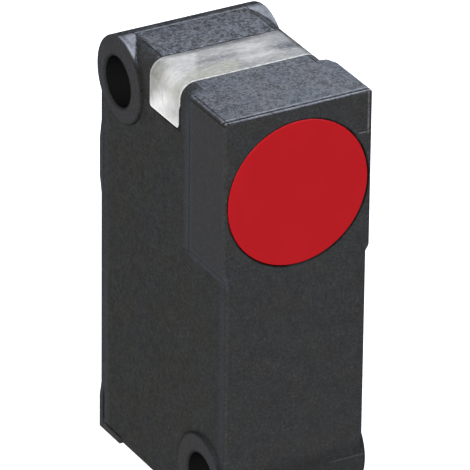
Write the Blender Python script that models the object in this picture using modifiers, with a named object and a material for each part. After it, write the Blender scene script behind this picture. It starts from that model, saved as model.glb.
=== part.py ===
"""A small block proximity sensor, modelled piece by piece.

Metres, +Z up. The origin lies under the middle of the block, on the plane that its feet stand on.
The red sensing face looks along -Y, and the two fixing bores run along X.
"""

import math

import bmesh
import bpy
from mathutils import Matrix, Vector

# Overall sizes
WIDTH = 0.0100  # over the head and the fixing bosses
DEPTH = 0.0160  # over the fixing bosses
HEIGHT = 0.0280  # from the feet to the top

# Housing
PANEL_INSET = 0.00025  # the side panels stand back from the head and the bosses
FACE_INSET = 0.00005  # the front and back faces stand back from the bosses
FOOT_DROP = 0.0002  # the feet reach this far below the bosses
WALL = 0.0009
FLOOR = 0.0018
SHOULDER_RADIUS = 0.0010  # rounding of the long top edges
EDGE_RADIUS = 0.00015  # rounding of the upright edges
PAD_PROUD = 0.00004  # the pads on the rear upright edges
PAD_WIDTH = 0.0004
FOOT_PAD_RISE = 0.0022
FOOT_PAD_RAMP = 0.0009  # the slope above it
FOOT_PAD_REACH = 0.0029
FOOT_PAD_LEAD = 0.0003  # the slope under the end of its strip
FOOT_PAD_STRIP = 0.00045
FOOT_PAD_CORNER = 0.0004  # cut off the corner inside it
UPPER_PAD_LENGTH = 0.0050
UPPER_PAD_DROP = 0.0067  # below the top
UPPER_PAD_RAMP = 0.0012  # the slope at each end
FRONT_FOOT_LENGTH = 0.0015
FRONT_FOOT_WIDTH = 0.0007

# Fixing bosses and their bores
BOSS_WALL = 0.0012  # more than the bore's radius
BOSS_RIM_RADIUS = 0.0001
EAR_LENGTH = 0.0027  # of the two lower bosses
BORE_RADIUS = 0.0016
BORE_CHAMFER = 0.0001
BORE_OUTSET = 0.00015  # a bore lies nearer the edge than its boss's middle
BORE_DROP = 0.0002  # and the upper one lower
BORE_WALL = 0.0008  # kept round the lower bore inside

# Head and sensing face
HEAD_DEPTH = 0.0045
HEAD_RAMP = 0.0006  # length of the slope from the head's side to the panel
HEAD_UNDERCUT = 0.00035  # height of the slope under the head's side
HEAD_EDGE = 0.00016
HEAD_FOOT_MARGIN = 0.00002  # below the sensing face
FACE_RIM = 0.00027  # left beside the sensing face
FACE_TOP_MARGIN = 0.00088
FACE_THICKNESS = 0.0006
FACE_EDGE = 0.00005

# Light guide
GUIDE_SETBACK = 0.00145  # behind the head
GUIDE_WIDTH = 0.00373
GUIDE_DROP = 0.00301  # how far it hangs down the sides
GUIDE_THICKNESS = 0.0011
GUIDE_FRONT_CORNER = 0.00035
GUIDE_REAR_CORNER = 0.0002
GUIDE_INNER_RADIUS = 0.0003
STEM_WIDTH = 0.0040
STEM_DEPTH = 0.0020

# Rear cover
COVER_THICKNESS = 0.0008
COVER_LEDGE = 0.00035
COVER_EDGE = 0.0001
RIB_WIDTH = 0.0006
RIB_REACH = 0.0007

# Cable inlet
BUSH_BORE_RADIUS = 0.0016
BUSH_WALL = 0.0006
BUSH_FLANGE_STEP = 0.00055
BUSH_FLANGE_HEIGHT = 0.0006
BUSH_SETBACK = 0.0025  # behind the middle of the block
BUSH_RECESS = 0.0001  # above the underside
BUSH_MOUTH = 0.0003  # chamfer of its bore

# Coil
CHAMBER_LEDGE = 0.0005  # the seat of the sensing face
CORE_LENGTH = 0.0032
CORE_POST_RADIUS = 0.0014
CORE_RIM = 0.0007
CORE_PLATE = 0.0010  # behind the groove
BOBBIN_WALL = 0.00025
LEAD_RADIUS = 0.00012
LEAD_CLEARANCE = 0.00018

# Board
BOARD_THICKNESS = 0.0008
BOARD_HEADROOM = 0.0010
BOARD_GROOVE = 0.0003
BOARD_CORE_GAP = 0.0006
CHIP_LENGTH = 0.0016  # capacitors and resistors
CHIP_RISE = 0.0008
CAPACITOR_HEIGHT = 0.0008
RESISTOR_HEIGHT = 0.00045
SUPPLY_CAPACITOR_LENGTH = 0.0020
SUPPLY_CAPACITOR_RISE = 0.00125
SUPPLY_CAPACITOR_HEIGHT = 0.0011
CHIP_CAP = 0.00035  # metal end of a chip part
LED_LENGTH = 0.0016
LED_RISE = 0.0008
LED_HEIGHT = 0.0007
LED_TOP_GAP = 0.0004  # below the board's top
CIRCUIT_LENGTH = 0.0030
CIRCUIT_RISE = 0.0026
CIRCUIT_HEIGHT = 0.0009
TRANSISTOR_LENGTH = 0.0026
TRANSISTOR_RISE = 0.0013
TRANSISTOR_HEIGHT = 0.0010
DIODE_LENGTH = 0.0015
DIODE_RISE = 0.0020
DIODE_HEIGHT = 0.0010
MOULD_EDGE = 0.0001
LEG_WIDTH = 0.0003
LEG_REACH = 0.0005
LEG_HEIGHT = 0.0003
TERMINAL_LENGTH = 0.0012
TERMINAL_RISE = 0.0008
TERMINAL_HEIGHT = 0.00015

# Clearances
FIT = 0.00005  # seams and seats
LOOSE = 0.0001  # pieces stacked inside
GUIDE_LED_GAP = 0.00035
RESIN_GAP = 0.0002
THROUGH = 0.0010  # how far a cutter runs past what it cuts

# Fineness
ROUND_STEPS = 72
SMALL_ROUND_STEPS = 32
LEAD_STEPS = 12
DRAFT_SCALE = 1000.0  # flat outlines are drawn this much larger, so that short edges keep their points
MERGE = 1e-7
WELD_DISTANCE = 1e-6
SMOOTH_ANGLE = math.radians(35)

# Places that follow from the sizes
HALF_WIDTH = WIDTH / 2
PANEL_X = HALF_WIDTH - PANEL_INSET
FRONT_Y = -DEPTH / 2 + FACE_INSET
BACK_Y = DEPTH / 2 - FACE_INSET
BASE_Z = FOOT_DROP + FACE_INSET
BOSS_RADIUS = BORE_RADIUS + BOSS_WALL
UPPER_BOSS = (DEPTH / 2 - BOSS_RADIUS, HEIGHT - BOSS_RADIUS)
LOWER_BOSS = (-DEPTH / 2 + BOSS_RADIUS, BASE_Z - FACE_INSET + BOSS_RADIUS)
UPPER_BORE = (UPPER_BOSS[0] + BORE_OUTSET, UPPER_BOSS[1] - BORE_DROP)
LOWER_BORE = (LOWER_BOSS[0] - BORE_OUTSET, LOWER_BOSS[1])
TUBE_RADIUS = BORE_RADIUS + BORE_WALL
BUSH_RADIUS = BUSH_BORE_RADIUS + BUSH_WALL
BUSH_FLANGE_RADIUS = BUSH_RADIUS + BUSH_FLANGE_STEP

HEAD_REAR = FRONT_Y + HEAD_DEPTH
FACE_RADIUS = HALF_WIDTH - FACE_RIM
FACE_Z = HEIGHT - FACE_TOP_MARGIN - FACE_RADIUS
HEAD_FOOT = FACE_Z - FACE_RADIUS - HEAD_FOOT_MARGIN
FACE_BACK_Y = FRONT_Y + FACE_THICKNESS

GUIDE_FRONT_Y = HEAD_REAR + GUIDE_SETBACK
GUIDE_BACK_Y = GUIDE_FRONT_Y + GUIDE_WIDTH
GUIDE_Y = (GUIDE_FRONT_Y + GUIDE_BACK_Y) / 2
GUIDE_FOOT_Z = HEIGHT - GUIDE_DROP
GUIDE_INNER_X = PANEL_X - GUIDE_THICKNESS
GUIDE_INNER_Z = HEIGHT - GUIDE_THICKNESS

CAVITY_X = PANEL_X - WALL
CAVITY_FRONT_Y = FRONT_Y + WALL
CAVITY_FLOOR = BASE_Z + FLOOR
CAVITY_ROOF = UPPER_BORE[1] - TUBE_RADIUS - COVER_LEDGE - LOOSE
CHAMBER_RADIUS = FACE_RADIUS - CHAMBER_LEDGE
CORE_RADIUS = CHAMBER_RADIUS - LOOSE
CORE_FRONT_Y = FACE_BACK_Y + LOOSE
CORE_BACK_Y = CORE_FRONT_Y + CORE_LENGTH
GROOVE_BACK_Y = CORE_BACK_Y - CORE_PLATE
GROOVE_RADIUS = CORE_RADIUS - CORE_RIM
CHAMBER_BACK_Y = CORE_BACK_Y + LOOSE
HEAD_CAVITY_Z = FACE_Z - CHAMBER_RADIUS - WALL

COVER_INNER_Y = BACK_Y - COVER_THICKNESS
BOARD_X = BOARD_THICKNESS / 2
BOARD_FRONT_Y = CAVITY_FRONT_Y - BOARD_GROOVE + FIT
BOARD_NECK_Y = CORE_BACK_Y + BOARD_CORE_GAP
BOARD_BACK_Y = COVER_INNER_Y - LOOSE
BOARD_FOOT = LOWER_BORE[1] + TUBE_RADIUS + BOARD_CORE_GAP
BOARD_SHOULDER = HEAD_CAVITY_Z - RESIN_GAP
BOARD_TOP = CAVITY_ROOF - BOARD_HEADROOM
STEM_FOOT = BOARD_TOP + GUIDE_LED_GAP

COLLECTION = "proximity_sensor"


def clear_scene():
    for obj in list(bpy.data.objects):
        bpy.data.objects.remove(obj, do_unlink=True)


def new_collection(name):
    collection = bpy.data.collections.new(name)
    bpy.context.scene.collection.children.link(collection)
    return collection


def material(name, color, roughness, metallic=0.0):
    made = bpy.data.materials.new(name)
    made.use_nodes = True
    shader = made.node_tree.nodes["Principled BSDF"]
    shader.inputs["Base Color"].default_value = (*color, 1.0)
    shader.inputs["Roughness"].default_value = roughness
    shader.inputs["Metallic"].default_value = metallic
    return made


def arc(center, radius, start, end, steps):
    """Points on an arc between two angles in degrees, both ends included."""
    angles = [math.radians(start + (end - start) * i / steps) for i in range(steps + 1)]
    return [(center[0] + radius * math.cos(a), center[1] + radius * math.sin(a)) for a in angles]


def mesh_object(name, mesh):
    obj = bpy.data.objects.new(name, mesh)
    PARTS.objects.link(obj)
    return obj


def closed_mesh(source, frame):
    """The evaluated mesh of an object, welded, turned outwards and moved by a matrix."""
    graph = bpy.context.evaluated_depsgraph_get()
    mesh = bpy.data.meshes.new_from_object(source.evaluated_get(graph))
    data = source.data
    bpy.data.objects.remove(source, do_unlink=True)
    if isinstance(data, bpy.types.Curve):
        bpy.data.curves.remove(data)
    mesh.transform(frame)
    shape = bmesh.new()
    shape.from_mesh(mesh)
    bmesh.ops.remove_doubles(shape, verts=shape.verts, dist=MERGE)
    bmesh.ops.recalc_face_normals(shape, faces=shape.faces)
    shape.to_mesh(mesh)
    shape.free()
    return mesh


AXES = {
    "X": Matrix(((0, 0, 1, 0), (1, 0, 0, 0), (0, 1, 0, 0), (0, 0, 0, 1))),
    "Y": Matrix(((1, 0, 0, 0), (0, 0, -1, 0), (0, 1, 0, 0), (0, 0, 0, 1))),
    "Z": Matrix.Identity(4),
}
AXIS_DIRECTION = {"X": Vector((1, 0, 0)), "Y": Vector((0, 1, 0)), "Z": Vector((0, 0, 1))}


def extruded(name, outline, axis, low, high):
    """A flat outline (Y,Z or X,Z or X,Y) extruded along the remaining axis between two planes."""
    curve = bpy.data.curves.new(name, "CURVE")
    curve.dimensions = "2D"
    curve.fill_mode = "BOTH"
    curve.extrude = DRAFT_SCALE * (high - low) / 2
    spline = curve.splines.new("POLY")
    spline.points.add(len(outline) - 1)
    for point, (u, v) in zip(spline.points, outline):
        point.co = (DRAFT_SCALE * u, DRAFT_SCALE * v, 0.0, 1.0)
    spline.use_cyclic_u = True
    draft = mesh_object(name + "_draft", curve)
    middle = Matrix.Translation(AXIS_DIRECTION[axis] * (low + high) / 2)
    frame = middle @ AXES[axis] @ Matrix.Scale(1 / DRAFT_SCALE, 4)
    return mesh_object(name, closed_mesh(draft, frame))


def turned(name, profile, axis, center, steps=ROUND_STEPS):
    """A profile of (radius, height) points turned about an axis through a point."""
    mesh = bpy.data.meshes.new(name)
    points = [(radius, 0.0, height) for radius, height in profile]
    count = len(points)
    closed = profile[0][0] > 0
    edges = [(i, (i + 1) % count) for i in range(count if closed else count - 1)]
    mesh.from_pydata(points, edges, [])
    draft = mesh_object(name + "_draft", mesh)
    screw = draft.modifiers.new("turn", "SCREW")
    screw.steps = steps
    screw.render_steps = steps
    screw.use_merge_vertices = True
    screw.merge_threshold = MERGE
    frame = Matrix.Translation(Vector(center)) @ AXES[axis]
    return mesh_object(name, closed_mesh(draft, frame))


def box(name, low, high, edge=0.0, edge_steps=2):
    """A box between two corners, with its edges rounded if asked."""
    mesh = bpy.data.meshes.new(name)
    shape = bmesh.new()
    bmesh.ops.create_cube(shape, size=1.0)
    size = [high[k] - low[k] for k in range(3)]
    middle = [(high[k] + low[k]) / 2 for k in range(3)]
    bmesh.ops.scale(shape, vec=size, verts=shape.verts)
    bmesh.ops.translate(shape, vec=middle, verts=shape.verts)
    if edge > 0:
        round_edges(shape, shape.edges, edge, edge_steps)
    shape.to_mesh(mesh)
    shape.free()
    return mesh_object(name, mesh)


def round_edges(shape, edges, radius, steps):
    bmesh.ops.bevel(
        shape,
        geom=list(edges),
        offset=radius,
        segments=steps,
        profile=0.5,
        affect="EDGES",
        clamp_overlap=True,
    )


def round_mesh_edges(obj, radius, steps, chosen):
    """Rounds the edges of an object for which chosen(end, other_end) is true."""
    shape = bmesh.new()
    shape.from_mesh(obj.data)
    bmesh.ops.dissolve_limit(
        shape,
        angle_limit=math.radians(0.5),
        verts=shape.verts,
        edges=shape.edges,
    )
    edges = [e for e in shape.edges if chosen(e.verts[0].co, e.verts[1].co)]
    round_edges(shape, edges, radius, steps)
    shape.to_mesh(obj.data)
    shape.free()


def combine(target, tool, operation):
    """Adds or cuts a tool shape, which stays as a hidden guide."""
    PARTS.objects.unlink(tool)
    CUTTERS.objects.link(tool)
    tool.hide_render = True
    tool.display_type = "WIRE"
    modifier = target.modifiers.new(tool.name, "BOOLEAN")
    modifier.operation = operation
    modifier.solver = "EXACT"
    modifier.object = tool


def weld(obj):
    """Joins the points that a cut leaves closer together than a thousandth of a millimetre."""
    modifier = obj.modifiers.new("weld", "WELD")
    modifier.merge_threshold = WELD_DISTANCE


def add(target, tool):
    combine(target, tool, "UNION")


def cut(target, tool):
    combine(target, tool, "DIFFERENCE")


def common(target, tool):
    combine(target, tool, "INTERSECT")


def finish(obj, surface, root):
    obj.data.materials.clear()
    obj.data.materials.append(surface)
    obj.data.shade_smooth()
    obj.data.set_sharp_from_angle(angle=SMOOTH_ANGLE)
    obj.parent = root


def sided(name, side):
    return name + ("_right" if side > 0 else "_left")


def rounded_rectangle(low, high, radius, steps):
    (u0, v0), (u1, v1) = low, high
    corners = (
        ((u1 - radius, v0 + radius), -90),
        ((u1 - radius, v1 - radius), 0),
        ((u0 + radius, v1 - radius), 90),
        ((u0 + radius, v0 + radius), 180),
    )
    return [p for center, start in corners for p in arc(center, radius, start, start + 90, steps)]


# Housing


def housing_block():
    """The middle of the housing: what its outlines seen from above, the front and the side share."""
    outline = rounded_rectangle((-PANEL_X, FRONT_Y), (PANEL_X, BACK_Y), EDGE_RADIUS, 4)
    block = extruded("housing", outline, "Z", BASE_Z - THROUGH, HEIGHT + THROUGH)
    center = (PANEL_X - SHOULDER_RADIUS, HEIGHT - SHOULDER_RADIUS)
    right = [(PANEL_X + THROUGH, -THROUGH), (PANEL_X + THROUGH, center[1])]
    right += arc(center, SHOULDER_RADIUS, 0, 90, 10)
    outline = right + [(-x, z) for x, z in reversed(right)]
    common(block, extruded("front_outline", outline, "Y", -DEPTH, DEPTH))
    radius = BOSS_RADIUS - FACE_INSET
    step_y = UPPER_BOSS[0] - FACE_INSET
    outline = [(BACK_Y + THROUGH, BASE_Z), (BACK_Y + THROUGH, UPPER_BOSS[1])]
    outline += arc(UPPER_BOSS, radius, 0, 90, 12)
    outline += [(step_y, UPPER_BOSS[1] + radius), (step_y, HEIGHT + THROUGH)]
    outline += [(FRONT_Y - THROUGH, HEIGHT + THROUGH), (FRONT_Y - THROUGH, LOWER_BOSS[1])]
    outline += arc(LOWER_BOSS, radius, 180, 270, 12)
    common(block, extruded("side_outline", outline, "X", -WIDTH, WIDTH))
    return block


def head_block():
    """The wider head, which slopes down to the side panels at its rear and under its sides."""
    corner = HEAD_EDGE + FIT
    ramp_start = HEAD_REAR - HEAD_RAMP / 2
    ramp_end = HEAD_REAR + HEAD_RAMP / 2
    top_end = ramp_end + PANEL_INSET
    flat_x = PANEL_X - SHOULDER_RADIUS
    right = arc((HALF_WIDTH - corner, FRONT_Y + corner), corner, -90, 0, 3) + [
        (HALF_WIDTH, ramp_start),
        (PANEL_X, ramp_end),
        (flat_x, top_end),
    ]
    outline = right + [(-x, y) for x, y in reversed(right)]
    foot = HEAD_FOOT - THROUGH
    head = extruded("head_block", outline, "Z", foot, HEIGHT)

    def top_rim(a, b):
        at_top = min(a.z, b.z) > HEIGHT - FIT
        return at_top and max(a.y, b.y) < ramp_end + FIT

    round_mesh_edges(head, HEAD_EDGE, 3, top_rim)
    for side in (-1, 1):
        slope = PANEL_INSET / HEAD_UNDERCUT
        inner = PANEL_X - slope * THROUGH
        outline = [
            (side * HALF_WIDTH, HEAD_FOOT + HEAD_UNDERCUT / 2),
            (side * inner, HEAD_FOOT - HEAD_UNDERCUT / 2 - THROUGH),
            (side * (HALF_WIDTH + THROUGH), HEAD_FOOT - HEAD_UNDERCUT / 2 - THROUGH),
            (side * (HALF_WIDTH + THROUGH), HEAD_FOOT + HEAD_UNDERCUT / 2),
        ]
        cut(head, extruded(sided("undercut", side), outline, "Y", -DEPTH, DEPTH))
    return head


def boss(name, center, low, high, rounded_ends):
    """A round boss along X, with a small rounding at the rim of each end named in rounded_ends."""
    profile = [(0.0, low)]
    if "low" in rounded_ends:
        profile += arc((BOSS_RADIUS - BOSS_RIM_RADIUS, low + BOSS_RIM_RADIUS), BOSS_RIM_RADIUS, -90, 0, 2)
    else:
        profile += [(BOSS_RADIUS, low)]
    if "high" in rounded_ends:
        profile += arc((BOSS_RADIUS - BOSS_RIM_RADIUS, high - BOSS_RIM_RADIUS), BOSS_RIM_RADIUS, 0, 90, 2)
    else:
        profile += [(BOSS_RADIUS, high)]
    profile += [(0.0, high)]
    return turned(name, profile, "X", (0.0, *center))


def upper_pad_outline(side, face):
    """The upper pad seen along a face of the housing: raised from the face, with a slope at each end."""
    top = HEIGHT - UPPER_PAD_DROP
    foot = top - UPPER_PAD_LENGTH
    inner = side * (face - PAD_WIDTH)
    sunk = side * (face - PAD_PROUD)
    outer = side * (face + PAD_PROUD)
    return [
        (inner, foot),
        (sunk, foot),
        (outer, foot + UPPER_PAD_RAMP),
        (outer, top - UPPER_PAD_RAMP),
        (sunk, top),
        (inner, top),
    ]


def upper_pad(side):
    across = upper_pad_outline(side, PANEL_X)
    pad = extruded(sided("upper_pad", side), across, "Y", BACK_Y - THROUGH, BACK_Y + THROUGH)
    common(pad, extruded(sided("upper_pad_depth", side), upper_pad_outline(1, BACK_Y), "X", -WIDTH, WIDTH))
    return pad


def foot_pad(side):
    """The pad at a rear lower corner: a post with a slope above it, and a strip along the foot."""
    top = FOOT_PAD_RISE + FOOT_PAD_RAMP
    outer_y = BACK_Y + PAD_PROUD
    post_y = BACK_Y - PAD_WIDTH
    strip_y = BACK_Y - FOOT_PAD_REACH
    outline = [
        (strip_y + FOOT_PAD_LEAD, 0.0),
        (outer_y, 0.0),
        (outer_y, FOOT_PAD_RISE),
        (BACK_Y - PAD_PROUD, top),
        (post_y, top),
        (post_y, FOOT_PAD_STRIP + FOOT_PAD_CORNER),
        (post_y - FOOT_PAD_CORNER, FOOT_PAD_STRIP),
        (strip_y, FOOT_PAD_STRIP),
    ]
    inner_x = side * (PANEL_X - PAD_WIDTH)
    sunk_x = side * (PANEL_X - PAD_PROUD)
    outer_x = side * (PANEL_X + PAD_PROUD)
    across = [
        (inner_x, -THROUGH),
        (outer_x, -THROUGH),
        (outer_x, FOOT_PAD_RISE),
        (sunk_x, top),
        (sunk_x, top + THROUGH),
        (inner_x, top + THROUGH),
    ]
    pad = extruded(sided("foot_pad", side), outline, "X", -WIDTH, WIDTH)
    common(pad, extruded(sided("foot_pad_width", side), across, "Y", -DEPTH, DEPTH))
    return pad


def housing_pads():
    """The raised pads on the rear upright edges and the feet."""
    foot_x = PANEL_X - EDGE_RADIUS
    front_y = LOWER_BOSS[0] - FRONT_FOOT_LENGTH / 2
    front_top = BASE_Z + FOOT_PAD_STRIP
    pads = []
    for side in (-1, 1):
        pads.append(foot_pad(side))
        pads.append(upper_pad(side))
        x0, x1 = sorted((side * foot_x, side * (foot_x - FRONT_FOOT_WIDTH)))
        high = (x1, front_y + FRONT_FOOT_LENGTH, front_top)
        pads.append(box(sided("front_foot", side), (x0, front_y, 0.0), high))
    return pads


def bore_cutter(name, center):
    mouth = BORE_RADIUS + BORE_CHAMFER
    upper = [
        (mouth + THROUGH, HALF_WIDTH + THROUGH),
        (mouth, HALF_WIDTH),
        (BORE_RADIUS, HALF_WIDTH - BORE_CHAMFER),
    ]
    lower = [(r, -h) for r, h in reversed(upper)]
    profile = [(0.0, upper[0][1])] + upper + lower + [(0.0, -upper[0][1])]
    return turned(name, profile, "X", (0.0, *center), SMALL_ROUND_STEPS)


def cavity_cutter():
    """The hollow that opens to the back, round the tube of the lower bore."""
    outline = [
        (CAVITY_FRONT_Y, CAVITY_FLOOR),
        (BACK_Y + THROUGH, CAVITY_FLOOR),
        (BACK_Y + THROUGH, CAVITY_ROOF),
        (CORE_BACK_Y - LOOSE, CAVITY_ROOF),
        (CORE_BACK_Y - LOOSE, HEAD_CAVITY_Z),
        (CAVITY_FRONT_Y, HEAD_CAVITY_Z),
    ]
    cavity = extruded("cavity_cutter", outline, "X", -CAVITY_X, CAVITY_X)
    solid = [(0.0, WIDTH), (TUBE_RADIUS, WIDTH), (TUBE_RADIUS, -WIDTH), (0.0, -WIDTH)]
    cut(cavity, turned("bore_tube", solid, "X", (0.0, *LOWER_BORE)))
    return cavity


def face_seat_cutter():
    """The seat of the sensing face and the coil chamber behind it."""
    seat = FACE_RADIUS + FIT
    front = FRONT_Y - THROUGH
    seat_back = FACE_BACK_Y + FIT
    profile = [
        (0.0, front),
        (seat, front),
        (seat, seat_back),
        (CHAMBER_RADIUS, seat_back),
        (CHAMBER_RADIUS, CHAMBER_BACK_Y),
        (0.0, CHAMBER_BACK_Y),
    ]
    return turned("face_seat_cutter", [(r, -y) for r, y in profile], "Y", (0.0, 0.0, FACE_Z))


def guide_outline(inner_x, inner_z, foot, outer):
    """The light guide's section across the block, between its own outer outline and the inner one."""
    radius = GUIDE_INNER_RADIUS
    inner = arc((inner_x - radius, inner_z - radius), radius, 0, 90, 3)
    half = [(outer[0][0], foot)] + outer
    mirrored = [(-x, z) for x, z in reversed(half)]
    inner_half = [(inner_x, foot)] + inner
    return half + mirrored + [(-x, z) for x, z in inner_half] + list(reversed(inner_half))


def round_guide_feet(obj, foot, front, back, grow):
    def at(y):
        def chosen(a, b):
            along_x = abs(a.y - b.y) < FIT / 5 and abs(a.z - b.z) < FIT / 5
            return along_x and abs(a.z - foot) < FIT / 5 and abs(a.y - y) < FIT / 5

        return chosen

    round_mesh_edges(obj, GUIDE_FRONT_CORNER + grow, 5, at(front))
    round_mesh_edges(obj, GUIDE_REAR_CORNER + grow, 4, at(back))


def guide_slot_cutter():
    outside = PANEL_X + THROUGH
    outer = [(outside, HEIGHT + THROUGH)]
    foot = GUIDE_FOOT_Z - FIT
    outline = guide_outline(GUIDE_INNER_X - FIT, GUIDE_INNER_Z - FIT, foot, outer)
    front, back = GUIDE_FRONT_Y - FIT, GUIDE_BACK_Y + FIT
    slot = extruded("guide_slot_cutter", outline, "Y", front, back)
    round_guide_feet(slot, foot, front, back, FIT)
    return slot


def stem_slot_cutter():
    half = STEM_WIDTH / 2 + FIT
    deep = STEM_DEPTH / 2 + FIT
    low = (-half, GUIDE_Y - deep, CAVITY_ROOF - THROUGH)
    return box("stem_slot_cutter", low, (half, GUIDE_Y + deep, GUIDE_INNER_Z + FIT))


def cover_seat_cutter():
    ledge = COVER_LEDGE
    low = (-CAVITY_X - ledge, COVER_INNER_Y - FIT, CAVITY_FLOOR - ledge)
    high = (CAVITY_X + ledge, BACK_Y + THROUGH, CAVITY_ROOF + ledge)
    return box("cover_seat_cutter", low, high)


def board_groove_cutter():
    half = BOARD_X + FIT
    low = (-half, CAVITY_FRONT_Y - BOARD_GROOVE, BOARD_FOOT - FIT)
    return box("board_groove_cutter", low, (half, CAVITY_FRONT_Y + WALL, HEAD_CAVITY_Z - FIT))


def inlet_cutter():
    hole = BUSH_RADIUS + FIT
    flange = BUSH_FLANGE_RADIUS + FIT
    seat = CAVITY_FLOOR - BUSH_FLANGE_HEIGHT - FIT
    profile = [
        (0.0, CAVITY_FLOOR + THROUGH),
        (flange, CAVITY_FLOOR + THROUGH),
        (flange, seat),
        (hole, seat),
        (hole, BASE_Z - THROUGH),
        (0.0, BASE_Z - THROUGH),
    ]
    return turned("inlet_cutter", profile, "Z", (0.0, BUSH_SETBACK, 0.0), SMALL_ROUND_STEPS)


def make_housing():
    housing = housing_block()
    add(housing, head_block())
    ear_x = HALF_WIDTH - EAR_LENGTH
    add(housing, boss("upper_boss", UPPER_BOSS, -HALF_WIDTH, HALF_WIDTH, ("low", "high")))
    add(housing, boss("lower_boss_left", LOWER_BOSS, -HALF_WIDTH, -ear_x, ("low",)))
    add(housing, boss("lower_boss_right", LOWER_BOSS, ear_x, HALF_WIDTH, ("high",)))
    weld(housing)
    for pad in housing_pads():
        add(housing, pad)
    weld(housing)
    cut(housing, cavity_cutter())
    cut(housing, cover_seat_cutter())
    cut(housing, board_groove_cutter())
    cut(housing, face_seat_cutter())
    cut(housing, guide_slot_cutter())
    cut(housing, stem_slot_cutter())
    cut(housing, inlet_cutter())
    cut(housing, bore_cutter("upper_bore_cutter", UPPER_BORE))
    cut(housing, bore_cutter("lower_bore_cutter", LOWER_BORE))
    weld(housing)
    return housing


# Pieces that close the housing


def make_rear_cover():
    """The lid, with two ribs inside that hold the board's rear edge."""
    x = CAVITY_X + COVER_LEDGE - FIT
    low = (-x, COVER_INNER_Y, CAVITY_FLOOR - COVER_LEDGE + FIT)
    high = (x, BACK_Y, CAVITY_ROOF + COVER_LEDGE - FIT)
    cover = box("rear_cover", low, high, COVER_EDGE)
    inner = BOARD_X + FIT
    for name, x0, x1 in (
        ("cover_rib_left", -inner - RIB_WIDTH, -inner),
        ("cover_rib_right", inner, inner + RIB_WIDTH),
    ):
        y1 = COVER_INNER_Y + COVER_THICKNESS / 2
        add(cover, box(name, (x0, COVER_INNER_Y - RIB_REACH, BOARD_FOOT), (x1, y1, BOARD_TOP)))
    return cover


def make_sensing_face():
    edge = arc((FACE_RADIUS - FACE_EDGE, -FRONT_Y - FACE_EDGE), FACE_EDGE, 90, 0, 2)
    profile = [(0.0, -FRONT_Y)] + edge + [(FACE_RADIUS, -FACE_BACK_Y), (0.0, -FACE_BACK_Y)]
    return turned("sensing_face", profile, "Y", (0.0, 0.0, FACE_Z))


def make_light_guide():
    """The clear strip over the top, flush with the housing, and its stem down to the lights."""
    center = (PANEL_X - SHOULDER_RADIUS, HEIGHT - SHOULDER_RADIUS)
    outer = arc(center, SHOULDER_RADIUS, 0, 90, 10)
    outline = guide_outline(GUIDE_INNER_X, GUIDE_INNER_Z, GUIDE_FOOT_Z, outer)
    guide = extruded("light_guide", outline, "Y", GUIDE_FRONT_Y, GUIDE_BACK_Y)
    round_guide_feet(guide, GUIDE_FOOT_Z, GUIDE_FRONT_Y, GUIDE_BACK_Y, 0.0)
    low = (-STEM_WIDTH / 2, GUIDE_Y - STEM_DEPTH / 2, STEM_FOOT)
    high = (STEM_WIDTH / 2, GUIDE_Y + STEM_DEPTH / 2, GUIDE_INNER_Z + GUIDE_THICKNESS / 2)
    add(guide, box("guide_stem", low, high))
    return guide


def make_cable_bush():
    bottom = BASE_Z + BUSH_RECESS
    seat = CAVITY_FLOOR - BUSH_FLANGE_HEIGHT
    profile = [
        (BUSH_BORE_RADIUS, CAVITY_FLOOR),
        (BUSH_FLANGE_RADIUS, CAVITY_FLOOR),
        (BUSH_FLANGE_RADIUS, seat),
        (BUSH_RADIUS, seat),
        (BUSH_RADIUS, bottom),
        (BUSH_BORE_RADIUS + BUSH_MOUTH, bottom),
        (BUSH_BORE_RADIUS, bottom + BUSH_MOUTH),
    ]
    return turned("cable_bush", profile, "Z", (0.0, BUSH_SETBACK, 0.0), SMALL_ROUND_STEPS)


def make_resin_plug():
    low = (-CAVITY_X + FIT, LOWER_BORE[0] + TUBE_RADIUS + FIT, CAVITY_FLOOR + FIT)
    high = (CAVITY_X - FIT, COVER_INNER_Y - LOOSE, BOARD_FOOT - RESIN_GAP)
    return box("resin_plug", low, high, LOOSE)


# Coil


def coil_ring(name, profile):
    """A profile of (radius, depth) points turned about the sensing face's axis."""
    return turned(name, [(r, -y) for r, y in profile], "Y", (0.0, 0.0, FACE_Z))


def lead_place(side):
    """Where a lead runs along Y: beside the board, through the core's groove."""
    x = side * (BOARD_X + FIT + LEAD_RADIUS)
    return x, FACE_Z - (CORE_POST_RADIUS + GROOVE_RADIUS) / 2


def make_ferrite_core():
    """A half pot core, open to the front, with two holes in its rear for the leads."""
    profile = [
        (0.0, CORE_FRONT_Y),
        (CORE_POST_RADIUS, CORE_FRONT_Y),
        (CORE_POST_RADIUS, GROOVE_BACK_Y),
        (GROOVE_RADIUS, GROOVE_BACK_Y),
        (GROOVE_RADIUS, CORE_FRONT_Y),
        (CORE_RADIUS, CORE_FRONT_Y),
        (CORE_RADIUS, CORE_BACK_Y),
        (0.0, CORE_BACK_Y),
    ]
    core = coil_ring("ferrite_core", profile)
    radius = LEAD_RADIUS + LEAD_CLEARANCE
    front = -(GROOVE_BACK_Y - LOOSE)
    back = -(CORE_BACK_Y + THROUGH)
    hole = [(0.0, back), (radius, back), (radius, front), (0.0, front)]
    for side in (-1, 1):
        x, z = lead_place(side)
        cut(core, turned(sided("lead_hole", side), hole, "Y", (x, 0.0, z), SMALL_ROUND_STEPS))
    return core


def bobbin_sizes():
    inner = CORE_POST_RADIUS + LOOSE
    outer = GROOVE_RADIUS - LOOSE
    return inner, outer, CORE_FRONT_Y, GROOVE_BACK_Y - LOOSE


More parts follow.
